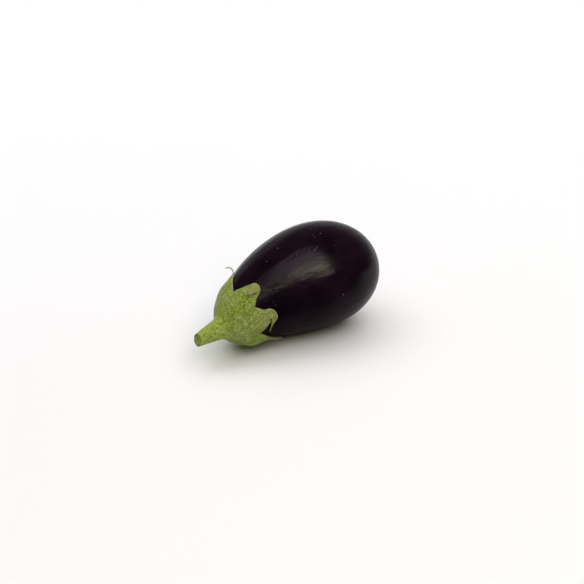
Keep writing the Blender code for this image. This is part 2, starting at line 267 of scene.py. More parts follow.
def skinMaterial():
    material, tree, shader = newMaterial("skin")
    place = objectPlace(tree)
    grain = attributeOn(tree, "grain", "Vector")  # round the fruit in x and y, along it in z
    fine = noiseOn(tree, vectorMaths(tree, "MULTIPLY", grain, (16.0, 16.0, 22.0)), 1.0, 4.0, 0.6)
    ripple = noiseOn(tree, vectorMaths(tree, "MULTIPLY", grain, (5.5, 5.5, 5.0)), 1.0, 2.0, 0.5)
    broad = noiseOn(tree, vectorMaths(tree, "MULTIPLY", grain, (5.0, 5.0, 1.2)), 1.0, 2.0)
    cloud = noiseOn(tree, place, 32.0, 2.0)

    colour = blendColours(tree, ramp(tree, cloud, 0.35, 0.7), skinLook["dark"], skinLook["purple"])
    streaks = times(tree, ramp(tree, fine, 0.56, 0.74), ramp(tree, broad, 0.4, 0.7))
    colour = blendColours(tree, times(tree, streaks, 0.55), colour, skinLook["streak"])

    # Pale specks, in a few cells of a fine Voronoi and at chosen places
    cells = addNode(tree, "ShaderNodeTexVoronoi", {"Vector": place, "Scale": skinLook["speckCells"]})
    chance, strength, _ = channels(tree, cells.outputs["Color"])
    picked = maths(tree, "GREATER_THAN", chance, skinLook["specklessShare"])
    picked = times(tree, picked, ramp(tree, strength, 0.0, 1.0, 0.1, 0.6))
    size = skinLook["speckRadius"] * skinLook["speckCells"]
    dots = times(tree, picked, ramp(tree, cells.outputs["Distance"], size, size * 0.55))
    for x, y, z, share in skinLook["specksAt"]:
        apart = vectorMaths(tree, "DISTANCE", place, (x * mm, y * mm, z * mm))
        dots = maths(tree, "MAXIMUM", dots, ramp(tree, apart, 0.45 * mm, 0.2 * mm, 0.0, share))
    colour = blendColours(tree, dots, colour, skinLook["speck"])

    # One hairline scratch
    given = {"Vector": place, "Location": skinLook["scratchAt"], "Rotation": skinLook["scratchTurn"]}
    turned = addNode(tree, "ShaderNodeMapping", given, vector_type="TEXTURE").outputs[0]
    along, aside, above = (maths(tree, "ABSOLUTE", part) for part in coordinates(tree, turned))
    near = ramp(tree, above, 6 * mm, 5 * mm)
    line = times(tree, ramp(tree, aside, 0.16 * mm, 0.05 * mm),
                 ramp(tree, along, skinLook["scratchLength"] / 2, skinLook["scratchLength"] / 3))
    scratch = times(tree, line, near)
    colour = blendColours(tree, times(tree, scratch, 0.3), colour, skinLook["speck"])

    # Corky scar at the blossom end
    scar = attributeOn(tree, "scar")
    cork = noiseOn(tree, place, 900.0, 3.0, 0.6)
    edge = maths(tree, "ADD", scar, times(tree, maths(tree, "SUBTRACT", cork, 0.5), 0.35))
    corky = ramp(tree, edge, 0.52, 0.72)
    corkColour = blendColours(tree, cork, skinLook["scar"], skinLook["scarDeep"])
    colour = blendColours(tree, corky, colour, corkColour)

    uneven = maths(tree, "MULTIPLY_ADD", maths(tree, "SUBTRACT", fine, 0.5), 0.10, skinLook["roughness"])
    uneven = maths(tree, "MULTIPLY_ADD", scratch, 0.2, uneven)
    pore = ramp(tree, vectorMaths(tree, "DISTANCE", place, skinLook["poreAt"]), 0.7 * mm, 0.35 * mm)
    uneven = maths(tree, "MULTIPLY_ADD", pore, 0.5, uneven)
    rough = maths(tree, "MULTIPLY_ADD", corky, 0.45, uneven)
    pores = noiseOn(tree, place, 1500.0, 2.0)
    calm = ramp(tree, channels(tree, grain)[2], 0.99, 0.88, 0.2, 1.0)  # the skin is smoother round the scar
    normal = bumpOn(tree, times(tree, ripple, calm), skinLook["rippleDepth"])
    normal = bumpOn(tree, times(tree, fine, calm), skinLook["fineDepth"], 1.0, normal)
    normal = bumpOn(tree, pores, skinLook["poreDepth"], 0.35, normal)
    normal = bumpOn(tree, times(tree, corky, cork), skinLook["corkDepth"], 1.0, normal)
    setInputs(tree, shader, {
        "Base Color": colour, "Roughness": rough, "Normal": normal, "IOR": skinLook["ior"],
    })
    return material


calyxLook = {
    "green": (0.180, 0.268, 0.005),
    "dull": (0.235, 0.285, 0.045),
    "deep": (0.095, 0.155, 0.002),
    "fleck": (0.400, 0.475, 0.125),
    "bloom": (0.350, 0.375, 0.140),
    "stem": (0.450, 0.550, 0.075),
    "stemDeep": (0.190, 0.280, 0.010),
    "margin": (0.370, 0.385, 0.190),
    "under": (0.245, 0.295, 0.042),
    "underTan": (0.270, 0.275, 0.095),
    "foldTan": (0.290, 0.200, 0.060),
    "dry": (0.060, 0.042, 0.016),
    "squiggle": (0.54, 0.62, 0.27),
    "cut": (0.300, 0.370, 0.036),
    "pith": (0.320, 0.345, 0.055),
    "roughness": 0.62,
    "lushAt": (-61.0 * mm, -21.0 * mm, 41.0 * mm),
    "lushRadius": 15.0 * mm,
    "bloomAt": ((-70.0 * mm, -2.0 * mm, 46.0 * mm), (-68.0 * mm, -21.0 * mm, 25.0 * mm),
                (-53.0 * mm, -26.0 * mm, 33.0 * mm)),
    "bloomRadius": 13.0 * mm,
    "squiggleAt": (-64.5 * mm, -21.5 * mm, 33.0 * mm),
    "squiggleRadius": 9.0 * mm,
    "squiggleHalfWidth": 0.46 * mm,
    # lines from point to point, in mm
    "squiggles": (
        ((-67.6, -21.3, 32.3), (-65.5, -22.0, 33.6), (-64.2, -22.8, 32.6)),
        ((-64.7, -23.0, 30.5), (-62.3, -23.7, 32.5)),
        ((-63.5, -23.5, 30.2), (-66.2, -22.3, 31.6)),
        ((-61.8, -24.2, 28.6), (-59.6, -25.0, 30.4), (-57.6, -25.6, 31.0)),
        ((-69.8, -17.9, 36.7), (-68.9, -18.8, 36.0)),
        ((-68.2, -18.8, 36.9), (-67.0, -20.2, 35.9)),
        ((-61.6, -23.1, 35.6), (-60.3, -23.9, 34.7)),
        ((-69.2, -20.8, 24.3), (-67.3, -21.9, 25.9)),
    ),
    "ridgeHalfWidth": 1.3 * mm,
    "ridge": (((-60.3, -24.5, 26.5), (-53.2, -26.5, 32.9), (-45.2, -27.6, 37.9)),),
    "sway": 2.2 * mm,           # how far those lines wander
    # scales of the textures, per metre
    "patches": 110.0,
    "mottle": 420.0,
    "speckle": 1150.0,
    "fibre": (12.0, 12.0, 190.0),
    "mottleDepth": 0.8 * mm,
    "speckleDepth": 0.2 * mm,
    "fibreDepth": 0.5 * mm,
    "squiggleDepth": 0.15 * mm,
    "cutDepth": 0.4 * mm,
    "sheenTint": (0.80, 0.86, 0.70, 1.0),
}


def patchAt(tree, place, centre, radius):
    return ramp(tree, vectorMaths(tree, "DISTANCE", place, centre), radius, radius * 0.2)


def strokesOn(tree, place, halfWidth, lines):
    marks = 0.0
    for points in lines:
        for start, end in zip(points, points[1:]):
            start, end = Vector(start) * mm, Vector(end) * mm
            way = (end - start).normalized()
            along = vectorMaths(tree, "DOT_PRODUCT", vectorMaths(tree, "SUBTRACT", place, start), way)
            along = maths(tree, "MINIMUM", maths(tree, "MAXIMUM", along, 0.0), (end - start).length)
            nearest = vectorMaths(tree, "MULTIPLY_ADD", along, way, start)
            mark = ramp(tree, vectorMaths(tree, "DISTANCE", place, nearest), halfWidth, halfWidth * 0.3)
            marks = maths(tree, "MAXIMUM", marks, mark)
    return marks


def calyxMaterial():
    material, tree, shader = newMaterial("calyx")
    look = calyxLook
    place = objectPlace(tree)
    grain = attributeOn(tree, "grain", "Vector")
    patches = noiseOn(tree, place, look["patches"], 3.0, 0.6)
    mottle = noiseOn(tree, place, look["mottle"], 3.0, 0.6)
    speckle = noiseOn(tree, place, look["speckle"], 2.0, 0.6)
    fibre = noiseOn(tree, vectorMaths(tree, "MULTIPLY", grain, look["fibre"]), 1.0, 3.0, 0.6)
    stem = attributeOn(tree, "stem")

    # Lush green where the lobes part, greyer bloom on the shoulders, a yellower stem
    lush = patchAt(tree, place, look["lushAt"], look["lushRadius"])
    dull = times(tree, ramp(tree, patches, 0.56, 0.42), maths(tree, "SUBTRACT", 1.0, lush))
    colour = blendColours(tree, dull, look["green"], look["dull"])
    bloom = 0.0
    for centre in look["bloomAt"]:
        bloom = maths(tree, "MAXIMUM", bloom, patchAt(tree, place, centre, look["bloomRadius"]))
    bloom = times(tree, bloom, ramp(tree, patches, 0.36, 0.60, 0.1, 0.7))
    colour = blendColours(tree, bloom, colour, look["bloom"])
    onStem = blendColours(tree, ramp(tree, fibre, 0.40, 0.60), look["stemDeep"], look["stem"])
    colour = blendColours(tree, times(tree, stem, 0.85), colour, onStem)
    quiet = maths(tree, "MULTIPLY_ADD", stem, -0.3, 1.0)
    for texture, pale, dark in ((mottle, 0.65, 0.80), (speckle, 0.75, 0.85), (fibre, 0.35, 0.35)):
        light = times(tree, ramp(tree, texture, 0.50, 0.66), pale)
        shade = times(tree, ramp(tree, texture, 0.50, 0.35), dark)
        shade = times(tree, shade, quiet)
        colour = blendColours(tree, light, colour, look["fleck"])
        colour = blendColours(tree, shade, colour, look["deep"])

    # Short pale squiggles: contour lines of a noise in a few patches, and drawn lines with a ridge
    field = noiseOn(tree, place, 230.0, 1.5, 0.5, 0.6)
    line = ramp(tree, maths(tree, "ABSOLUTE", maths(tree, "SUBTRACT", field, 0.52)), 0.036, 0.012)
    some = ramp(tree, noiseOn(tree, place, 210.0, 1.0), 0.44, 0.54)
    patch = patchAt(tree, place, look["squiggleAt"], look["squiggleRadius"])
    patch = maths(tree, "MAXIMUM", patch, ramp(tree, patches, 0.60, 0.70, 0.0, 0.5))
    squiggle = times(tree, times(tree, line, some), patch)
    squiggle = times(tree, squiggle, maths(tree, "SUBTRACT", 1.0, stem))
    sway = addNode(tree, "ShaderNodeTexNoise", {"Vector": place, "Scale": look["mottle"]}).outputs["Color"]
    sway = vectorMaths(tree, "SUBTRACT", sway, (0.5, 0.5, 0.5))
    swayed = vectorMaths(tree, "MULTIPLY_ADD", sway, (look["sway"],) * 3, place)
    strokes = strokesOn(tree, swayed, look["squiggleHalfWidth"], look["squiggles"])
    squiggle = maths(tree, "MAXIMUM", squiggle, strokes)
    ridge = strokesOn(tree, swayed, look["ridgeHalfWidth"], look["ridge"])
    ridge = times(tree, ridge, ramp(tree, speckle, 0.35, 0.60, 0.15, 0.75))
    colour = blendColours(tree, ridge, colour, look["bloom"])
    colour = blendColours(tree, times(tree, squiggle, 0.9), colour, look["squiggle"])

    # Pale inner face and margins, dry tips
    inner = blendColours(tree, ramp(tree, mottle, 0.42, 0.6), look["under"], look["underTan"])
    colour = blendColours(tree, times(tree, attributeOn(tree, "under"), 0.85), colour, inner)
    margin = ramp(tree, attributeOn(tree, "margin"), 0.6, 0.05)
    stretches = noiseOn(tree, place, 150.0, 2.0)
    colour = blendColours(tree, times(tree, margin, 0.8), colour, look["margin"])
    brown = times(tree, margin, ramp(tree, stretches, 0.55, 0.68))
    colour = blendColours(tree, times(tree, brown, 0.8), colour, look["dry"])
    fold = times(tree, attributeOn(tree, "fold"), ramp(tree, mottle, 0.40, 0.56, 0.15, 1.0))
    colour = blendColours(tree, fold, colour, look["foldTan"])
    colour = blendColours(tree, ramp(tree, attributeOn(tree, "dry"), 0.3, 0.9), colour, look["dry"])

    # Cut end of the stem: a dark green rim, then olive flesh that is tan at its pith
    cut = attributeOn(tree, "cut")
    cells = noiseOn(tree, place, 1100.0, 3.0, 0.6)
    face = blendColours(tree, ramp(tree, cut, 0.45, 0.85), look["cut"], look["pith"])
    face = blendColours(tree, times(tree, ramp(tree, cells, 0.4, 0.7), 0.25), face, look["dry"])
    face = blendColours(tree, ramp(tree, cut, 0.42, 0.30, 0.0, 0.8), face, look["deep"])
    colour = blendColours(tree, ramp(tree, cut, 0.16, 0.24), colour, face)

    rough = maths(tree, "MULTIPLY_ADD", maths(tree, "SUBTRACT", mottle, 0.5), 0.25, look["roughness"])
    normal = bumpOn(tree, mottle, look["mottleDepth"])
    normal = bumpOn(tree, speckle, look["speckleDepth"], 1.0, normal)
    normal = bumpOn(tree, fibre, look["fibreDepth"], 0.8, normal)
    normal = bumpOn(tree, squiggle, look["squiggleDepth"], 0.8, normal)
    normal = bumpOn(tree, times(tree, cells, ramp(tree, cut, 0.2, 0.4)), look["cutDepth"], 0.8, normal)
    setInputs(tree, shader, {
        "Base Color": colour, "Roughness": rough, "Normal": normal, "Specular IOR Level": 0.35,
        "Sheen Weight": 0.15, "Sheen Roughness": 0.45, "Sheen Tint": look["sheenTint"],
    })
    return material


def downMaterial():
    material, tree, shader = newMaterial("down")
    shade = noiseOn(tree, objectPlace(tree), 300.0, 2.0)
    colour = blendColours(tree, shade, downForm["green"], downForm["grey"])
    setInputs(tree, shader, {"Base Color": colour, "Roughness": maths(tree, "MULTIPLY_ADD", shade, 0.2, 0.5)})
    return material


print("materials built")


# Geometry Nodes helpers
def newTree(name, inputs):
    tree = bpy.data.node_groups.new(name, "GeometryNodeTree")
    for label, kind in inputs:
        tree.interface.new_socket(label, in_out="INPUT", socket_type=kind)
    tree.interface.new_socket("Geometry", in_out="OUTPUT", socket_type="NodeSocketGeometry")
    given = addNode(tree, "NodeGroupInput")
    return tree, given.outputs


def finishTree(tree, geometry, material):
    whole = addNode(tree, "GeometryNodeRealizeInstances", {0: geometry}).outputs[0]
    painted = addNode(tree, "GeometryNodeSetMaterial", {"Geometry": whole, "Material": material}).outputs[0]
    addNode(tree, "NodeGroupOutput", {0: painted})


def storeField(tree, geometry, name, kind, value):
    given = {"Geometry": geometry, "Name": name, "Value": value}
    return addNode(tree, "GeometryNodeStoreNamedAttribute", given, data_type=kind, domain="POINT").outputs[0]


def meshFromTree(name, tree, values, start=None):
    # Runs the tree once and keeps what it makes as a plain mesh
    obj = bpy.data.objects.new(name, start or bpy.data.meshes.new(name))
    bpy.context.scene.collection.objects.link(obj)
    modifier = obj.modifiers.new("form", "NODES")
    modifier.node_group = tree
    for item in tree.interface.items_tree:
        if item.in_out == "INPUT" and item.name in values:
            modifier[item.identifier] = values[item.name]
    made = bpy.data.meshes.new_from_object(obj.evaluated_get(bpy.context.evaluated_depsgraph_get()))
    obj.modifiers.remove(modifier)
    obj.data = made
    made.name = name
    return obj


# Inputs of the fruit's tree, and the values of its form that they take
fruitInputs = {
    "Length": "length", "Half Width": "halfWidth", "Neck Slimming": "neckSlimming",
    "End Fullness": "endFullness", "Shoulder Fullness": "shoulderFullness", "Bend": "bend",
    "Scar Radius": "scarRadius", "Scar Depth": "scarDepth", "Swell": "swell", "Tilt": "tilt",
    "Sides": "sides", "Rows": "rows",
}


def fruitTree():
    kinds = {label: "NodeSocketFloat" for label in fruitInputs}
    kinds.update({"Sides": "NodeSocketInt", "Rows": "NodeSocketInt"})
    kinds.update({"Resting Point": "NodeSocketVector", "Skin": "NodeSocketMaterial"})
    tree, given = newTree("fruitForm", kinds.items())
    size = {"Segments": given["Sides"], "Rings": given["Rows"], "Radius": 1.0}
    ball = addNode(tree, "GeometryNodeMeshUVSphere", size)
    position = addNode(tree, "GeometryNodeInputPosition").outputs[0]
    x, y, z = coordinates(tree, position)

    # c is the cosine of psi: 1 at the stem, -1 at the blossom end
    c = times(tree, z, -1.0)
    along = maths(tree, "MULTIPLY_ADD", z, 0.5, 0.5)
    width = maths(tree, "MULTIPLY_ADD", given["Neck Slimming"], z, given["Half Width"])
    double = maths(tree, "MULTIPLY_ADD", times(tree, c, c), 2.0, -1.0)
    width = maths(tree, "MULTIPLY_ADD", given["End Fullness"], double, width)
    cubed = times(tree, maths(tree, "POWER", c, 3.0), 4.0)
    triple = maths(tree, "MULTIPLY_ADD", c, -3.0, cubed)
    width = maths(tree, "MULTIPLY_ADD", given["Shoulder Fullness"], triple, width)

    # slow unevenness, none of it under the calyx
    ripple = addNode(tree, "ShaderNodeTexNoise", {"Vector": position, "Scale": 1.7, "Detail": 1.0})
    uneven = maths(tree, "MULTIPLY_ADD", ripple.outputs[0], 2.0, -1.0)
    uneven = times(tree, uneven, ramp(tree, along, 0.3, 0.55))
    width = maths(tree, "MULTIPLY_ADD", uneven, given["Swell"], width)

    ring = maths(tree, "SUBTRACT", 1.0, times(tree, z, z))
    ring = maths(tree, "SQRT", maths(tree, "MAXIMUM", ring, 0.0))
    radius = times(tree, width, ring)
    nearScar = maths(tree, "DIVIDE", radius, given["Scar Radius"])
    hollow = maths(tree, "EXPONENT", times(tree, maths(tree, "POWER", nearScar, 2.0), -1.0))
    hollow = times(tree, hollow, maths(tree, "GREATER_THAN", z, 0.0))
    down = maths(tree, "SUBTRACT", along, 0.5)
    length = times(tree, given["Length"], down)
    length = maths(tree, "SUBTRACT", length, times(tree, hollow, given["Scar Depth"]))
    left = maths(tree, "SUBTRACT", 1.0, along)
    arch = times(tree, times(tree, along, 8.0), times(tree, left, left))
    aside = maths(tree, "MULTIPLY_ADD", width, x, times(tree, arch, given["Bend"]))
    point = joined(tree, length, aside, times(tree, width, y))

    # lay it down, and flatten what would sink into the table
    turn = {"Vector": point, "Angle": times(tree, given["Tilt"], -1.0)}
    turn = addNode(tree, "ShaderNodeVectorRotate", turn, rotation_type="Y_AXIS")
    placed = vectorMaths(tree, "SUBTRACT", turn.outputs[0], given["Resting Point"])
    flat = vectorMaths(tree, "MAXIMUM", placed, (-1.0, -1.0, 0.0))

    unit = maths(tree, "MAXIMUM", ring, 0.001)
    grain = joined(tree, maths(tree, "DIVIDE", x, unit), maths(tree, "DIVIDE", y, unit), along)
    geometry = storeField(tree, ball.outputs["Mesh"], "grain", "FLOAT_VECTOR", grain)
    geometry = storeField(tree, geometry, "scar", "FLOAT", hollow)
    moved = addNode(tree, "GeometryNodeSetPosition", {"Geometry": geometry, "Position": flat}).outputs[0]
    smooth = addNode(tree, "GeometryNodeSetShadeSmooth", {"Geometry": moved}).outputs[0]
    finishTree(tree, smooth, given["Skin"])
    return tree


def makeFruit():
    values = {label: fruitForm[name] for label, name in fruitInputs.items()}
    values.update({"Resting Point": tuple(rest), "Skin": skinMaterial()})
    return meshFromTree("fruit_skin", fruitTree(), values)


fruit = makeFruit()
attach(fruit, "root")
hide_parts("fruit")
print("fruit:", len(fruit.data.polygons), "faces")


# Calyx and stem. Each lobe starts at a valley and runs to the next lobe's valley.
calyxForm = {
    "gap": 0.3 * mm,
    "capThickness": 3.1 * mm,
    "tipThickness": 0.8 * mm,
    "edgeThinning": 0.25,
    "edgeRound": 1.1 * mm,      # width over which a margin rounds off
    "edgeLeft": 0.40,           # share of the thickness that is left at the margin
    "plumpAt": 28.0 * mm,       # where a plump lobe bulges most, and how far along the bulge reaches
    "plumpReach": 8.0 * mm,
    "waistAt": 15.0 * mm,       # the waist above that bulge
    "waistReach": 5.0 * mm,
    "waistShare": 0.6,
    "pinchFrom": 0.3,
    "pinchTo": 0.5,
    "shoulderAt": 13.5 * mm,
    "shoulderLift": 3.2 * mm,
    "filletOnCap": 3.2 * mm,
    "filletOnStem": 3.0 * mm,
    "ribHeight": 0.28 * mm,
    "ribWidth": 1.9 * mm,
    "unevenness": 0.16 * mm,
    "across": 28,
    "along": 66,
    "capRows": 24,
    "filletRows": 18,
    "stemRows": 34,
    "innerRows": 16,
    "curlWeight": 0.9,
}

# Angles in degrees round the fruit: 0 is +Y, 90 is up. A curl lifts a lobe and rolls it back, a turn bends
# it aside, each as (from, to, degrees) with from and to as shares of the lobe's length.
plainLobe = {"blunt": 0.0, "lean": 0.0, "rise": 0.6 * mm, "wave": 0.3 * mm, "dome": 0.0, "plump": 0.0,
             "pinch": 0.0, "tipHalf": 0.45 * mm, "curls": (), "turns": (), "dry": 0.0}
lobes = [dict(plainLobe, **own) for own in (
    {"angle": 43.0, "at": 30.0 * mm, "reach": 23.6 * mm, "taper": 3.2, "lean": -15.0, "rise": 1.0 * mm,
     "tipHalf": 0.62 * mm, "curls": ((0.42, 0.94, 136.0),)},
    {"angle": 95.0, "at": 27.3 * mm, "reach": 26.2 * mm, "taper": 1.9, "blunt": 0.50, "lean": 2.5,
     "rise": 0.4 * mm, "dome": 2.5 * mm, "curls": ((0.46, 0.72, 173.0),)},
    {"angle": 146.0, "at": 33.9 * mm, "reach": 25.1 * mm, "taper": 1.6, "lean": -9.5, "rise": 1.2 * mm,
     "turns": ((0.34, 0.465, 62.0), (0.475, 0.575, 60.0)), "pinch": 0.55},
    {"angle": 199.5, "at": 31.8 * mm, "reach": 22.7 * mm, "taper": 1.5, "blunt": 0.18, "lean": 4.0,
     "rise": 1.9 * mm, "tipHalf": 2.3 * mm, "plump": 1.8 * mm, "dry": 1.0},
    {"angle": 246.0, "at": 29.5 * mm, "reach": 18.5 * mm, "taper": 1.3, "blunt": 0.1, "lean": -5.0,
     "rise": 0.2 * mm, "wave": 0.1 * mm},
    {"angle": 297.0, "at": 31.5 * mm, "reach": 21.5 * mm, "taper": 1.4, "lean": 6.0, "rise": 0.8 * mm,
     "curls": ((0.62, 1.0, 75.0),), "dry": 0.4},
    {"angle": 349.0, "at": 29.0 * mm, "reach": 20.5 * mm, "taper": 1.7, "blunt": 0.2, "lean": -6.0,
     "curls": ((0.70, 1.0, 30.0),)},
)]

stemForm = {
    "footAt": 3.4 * mm,         # where the stem leaves the calyx, past the fruit's end
    "footFlare": 1.0 * mm,
    "flareTowards": math.radians(235),
    "cutAt": 21.8 * mm,
    "footRadius": 7.9 * mm,
    "cutRadius": 4.7 * mm,
    "aboveAxis": 1.6 * mm,
    "rib": 0.03,
    "slopeSide": -0.02,
    "slopeUp": 0.34,
    "edgeRound": 0.5 * mm,
    "pithHollow": 0.4 * mm,
    "cutRows": 9,
}


def smoothStep(low, high, value):
    share = np.clip((value - low) / (high - low), 0.0, 1.0)
    return share * share * (3 - 2 * share)


def between(low, high, share):
    return low + (high - low) * share


def bent(bends, share):
    turns = (degrees * smoothStep(low, high, share) for low, high, degrees in bends)
    return np.radians(sum(turns, 0 * share))


def valley(lobe, following, across):
    share = (across + 1) / 2
    turn = (following["angle"] - lobe["angle"]) % 360
    return between(lobe["at"], following["at"], share), np.radians(lobe["angle"] + turn * share)


def middleLine(lobe, following):
    # The lobe's middle line as closely set spots, and the shares of its length where its rows go
    share = np.linspace(0.0, 1.0, 801)
    step = lobe["reach"] / (len(share) - 1)
    roll = bent(lobe["curls"], share)
    heading = math.radians(lobe["lean"]) + bent(lobe["turns"], share)
    startAt, startTheta = valley(lobe, following, 0.0)
    flatStep = np.where(share > 0, step * np.cos(roll), 0.0)
    at = startAt + np.cumsum(flatStep * np.cos(heading))
    rise = lobe["rise"] * np.diff(share**2, prepend=0.0) * np.cos(roll)
    lift = calyxForm["gap"] + np.cumsum(np.where(share > 0, step * np.sin(roll), 0.0) + rise)
    radius = np.interp(at, outlineDistance, outlineR) + lift
    theta = startTheta + np.cumsum(flatStep * np.sin(heading) / radius)
    turned = np.abs(np.diff(roll, prepend=roll[0])) + np.abs(np.diff(heading, prepend=heading[0]))
    effort = np.where(share > 0, 1.0 / (len(share) - 1), 0.0) + calyxForm["curlWeight"] * turned / math.pi
    effort = np.cumsum(effort)
    effort += 0.12 * smoothStep(0.9, 1.0, share)  # a few more rows where the tip rounds off
    rows = np.interp(np.linspace(0.0, effort[-1], calyxForm["along"] + 1), effort, share)
    return {"share": share, "at": at, "theta": theta, "lift": lift, "roll": roll, "heading": heading}, rows


def halfWidth(lobe, base, share):
    left = 1 - share
    width = base * ((1 - lobe["blunt"]) * left ** lobe["taper"] + lobe["blunt"] * left**0.4)
    width = np.maximum(width, lobe["tipHalf"])
    tipFrom = 1 - lobe["tipHalf"] / lobe["reach"]
    return width * np.sqrt(np.maximum(1 - np.clip((share - tipFrom) / (1 - tipFrom), 0.0, 1.0) ** 2, 0.05))


def plainThickness(share, across):
    middle = between(calyxForm["capThickness"], calyxForm["tipThickness"], np.minimum(1.0, 1.6 * share))
    return middle * (1 - calyxForm["edgeThinning"] * across**2 * (1 - share))


def bulge(plump, at, across):
    form = calyxForm
    full = np.exp(-(((at - form["plumpAt"]) / form["plumpReach"]) ** 2))
    waist = np.exp(-(((at - form["waistAt"]) / form["waistReach"]) ** 2))
    return plump * (1 - across**2) * (full - form["waistShare"] * waist)


def roundedEdge(inside):
    # share of the thickness at this distance inside the margin
    depth = np.clip(inside / calyxForm["edgeRound"], 0.0, 1.0)
    return between(calyxForm["edgeLeft"], 1.0, np.sqrt(1 - (1 - depth) ** 2))


def rib(aside, share):
    height = calyxForm["ribHeight"] * np.exp(-((aside / calyxForm["ribWidth"]) ** 2))
    return height * (1 - smoothStep(0.15, 0.5, share))


def lobeBase(lobe, following):
    # half of the lobe's width at its base
    turn = math.radians((following["angle"] - lobe["angle"]) % 360)
    startAt, _ = valley(lobe, following, 0.0)
    return turn / 2 * float(np.interp(startAt, outlineDistance, outlineR))


def lobeFaces(lobe, following, across):
    # Points of the lobe's inner and outer face, and how far inside the margin each is
    form = calyxForm
    line, rows = middleLine(lobe, following)
    share = rows[:, None]
    at, theta, lift, roll, heading = (
        np.interp(share, line["share"], line[name]) for name in ("at", "theta", "lift", "roll", "heading")
    )
    at = at - lobe["dome"] * (across**2 + across**4) / 2 * smoothStep(0.0, 0.5, share)
    startAt, _ = valley(lobe, following, 0.0)
    baseAt, _ = valley(lobe, following, across)
    base = lobeBase(lobe, following)
    baseRadius = float(np.interp(startAt, outlineDistance, outlineR))
    pinch = lobe["pinch"] * smoothStep(form["pinchFrom"], form["pinchTo"], share)  # on the side it turns to
    wide = halfWidth(lobe, base, share) * (1 - pinch * (across > 0))
    aside = across * wide
    free = smoothStep(0.0, 0.3, share)
    at = at + (baseAt - startAt) * (1 - share) ** 2 - np.sin(heading) * aside * free
    radius = np.interp(at, outlineDistance, outlineR) + lift
    theta = theta + aside * between(1.0, np.cos(heading), free) / between(baseRadius, radius, free)
    wave = lobe["wave"] * np.abs(across) * share * (1 + np.sin(9 * share + 2 * across))
    lift = lift + wave * np.maximum(0.0, np.cos(roll))
    inside = (1 - np.abs(across)) * wide
    full = plainThickness(share, across)
    deep = full * roundedEdge(inside) + rib(aside, share) + bulge(lobe["plump"], at, across)
    under = (full - full * roundedEdge(inside)) * 0.3 * smoothStep(0.0, 0.15, share)
    faces = []
    for height in (under, deep):
        back = np.sin(roll) * height
        faces.append(skinPoint(at - back * np.cos(heading), theta - back * np.sin(heading) / radius,
                               lift + np.cos(roll) * height))
    return faces[0], faces[1], np.broadcast_to(inside, full.shape), np.broadcast_to(share, full.shape), theta


def stemPoint(share, theta, across):
    form = stemForm
    radius = between(form["footRadius"], form["cutRadius"], share**0.9)
    radius = radius * (1 + form["rib"] * np.cos(math.pi * across))
    y, z = radius * np.cos(theta), radius * np.sin(theta)
    foot = form["footAt"] + form["footFlare"] * (1 + np.cos(theta - form["flareTowards"])) / 2
    x = (form["slopeSide"] * y + form["slopeUp"] * z) * share - fruitForm["length"] / 2
    x = x - between(foot, form["cutAt"], share)
    return np.stack(np.broadcast_arrays(x, y, z + form["aboveAxis"]), axis=-1)


def unitVector(vector):
    return vector / np.linalg.norm(vector, axis=-1, keepdims=True)


def capRings(baseAt, theta, across, base, plump):
    # Rings from the lobes' base over the cap, round the fillet and down the stem to the cut
    form = calyxForm
    edge = roundedEdge((1 - np.abs(across)) * base)
    thick = plainThickness(0.0, across)
    rings = []
    for row in range(1, form["capRows"] + 1):
        share = row / form["capRows"]
        healed = 1 - (1 - edge) * max(0.0, 1 - share * 4) ** 2
        lift = between(form["gap"] + thick * healed, form["shoulderLift"], share)
        at = between(baseAt, form["shoulderAt"], share)
        lift = lift + rib(across * base * (1 - 0.6 * share), 0.0) + bulge(plump, at, across)
        rings.append(skinPoint(at, theta, lift))
    shoulder = rings[-1]
    before = rings[-2]
    inward = unitVector(shoulder - before)
    foot = stemPoint(0.0, theta, across)
    downStem = unitVector(foot - stemPoint(0.2, theta, across))
    aboveFoot = foot + downStem * form["filletOnStem"]
    handles = (shoulder, shoulder + inward * form["filletOnCap"], aboveFoot, foot)
    for row in range(1, form["filletRows"] + 1):
        share = row / form["filletRows"]
        left = 1 - share
        weights = (left**3, 3 * left**2 * share, 3 * left * share**2, share**3)
        rings.append(sum(weight * handle for weight, handle in zip(weights, handles)))
    for row in range(1, form["stemRows"] + 1):
        rings.append(stemPoint(row / form["stemRows"], theta, across))
    return rings


def cutRings(theta, across):
    # From the cut's rounded edge to its slightly hollow middle: rind, a low ring, then the pith
    form = stemForm
    edge = stemPoint(1.0, theta, across)
    middle = np.array((-fruitForm["length"] / 2 - form["cutAt"], 0.0, form["aboveAxis"]))
    inward = unitVector(middle - edge)
    outward = np.array((-1.0, 0.0, 0.0))
    rings = []
    for turn in (30.0, 60.0, 90.0):
        angle = math.radians(turn)
        rings.append(edge + inward * form["edgeRound"] * (1 - math.cos(angle))
                     + outward * form["edgeRound"] * 0.6 * math.sin(angle))
    rim = rings[-1]
    for row in range(1, form["cutRows"]):
        share = row / form["cutRows"]
        dip = form["pithHollow"] * (math.sin(share * math.pi * 2.2) ** 2 * 0.5 + share * 0.6)
        rings.append(between(rim, middle, share) - outward * dip)
    return rings, middle - outward * form["pithHollow"]


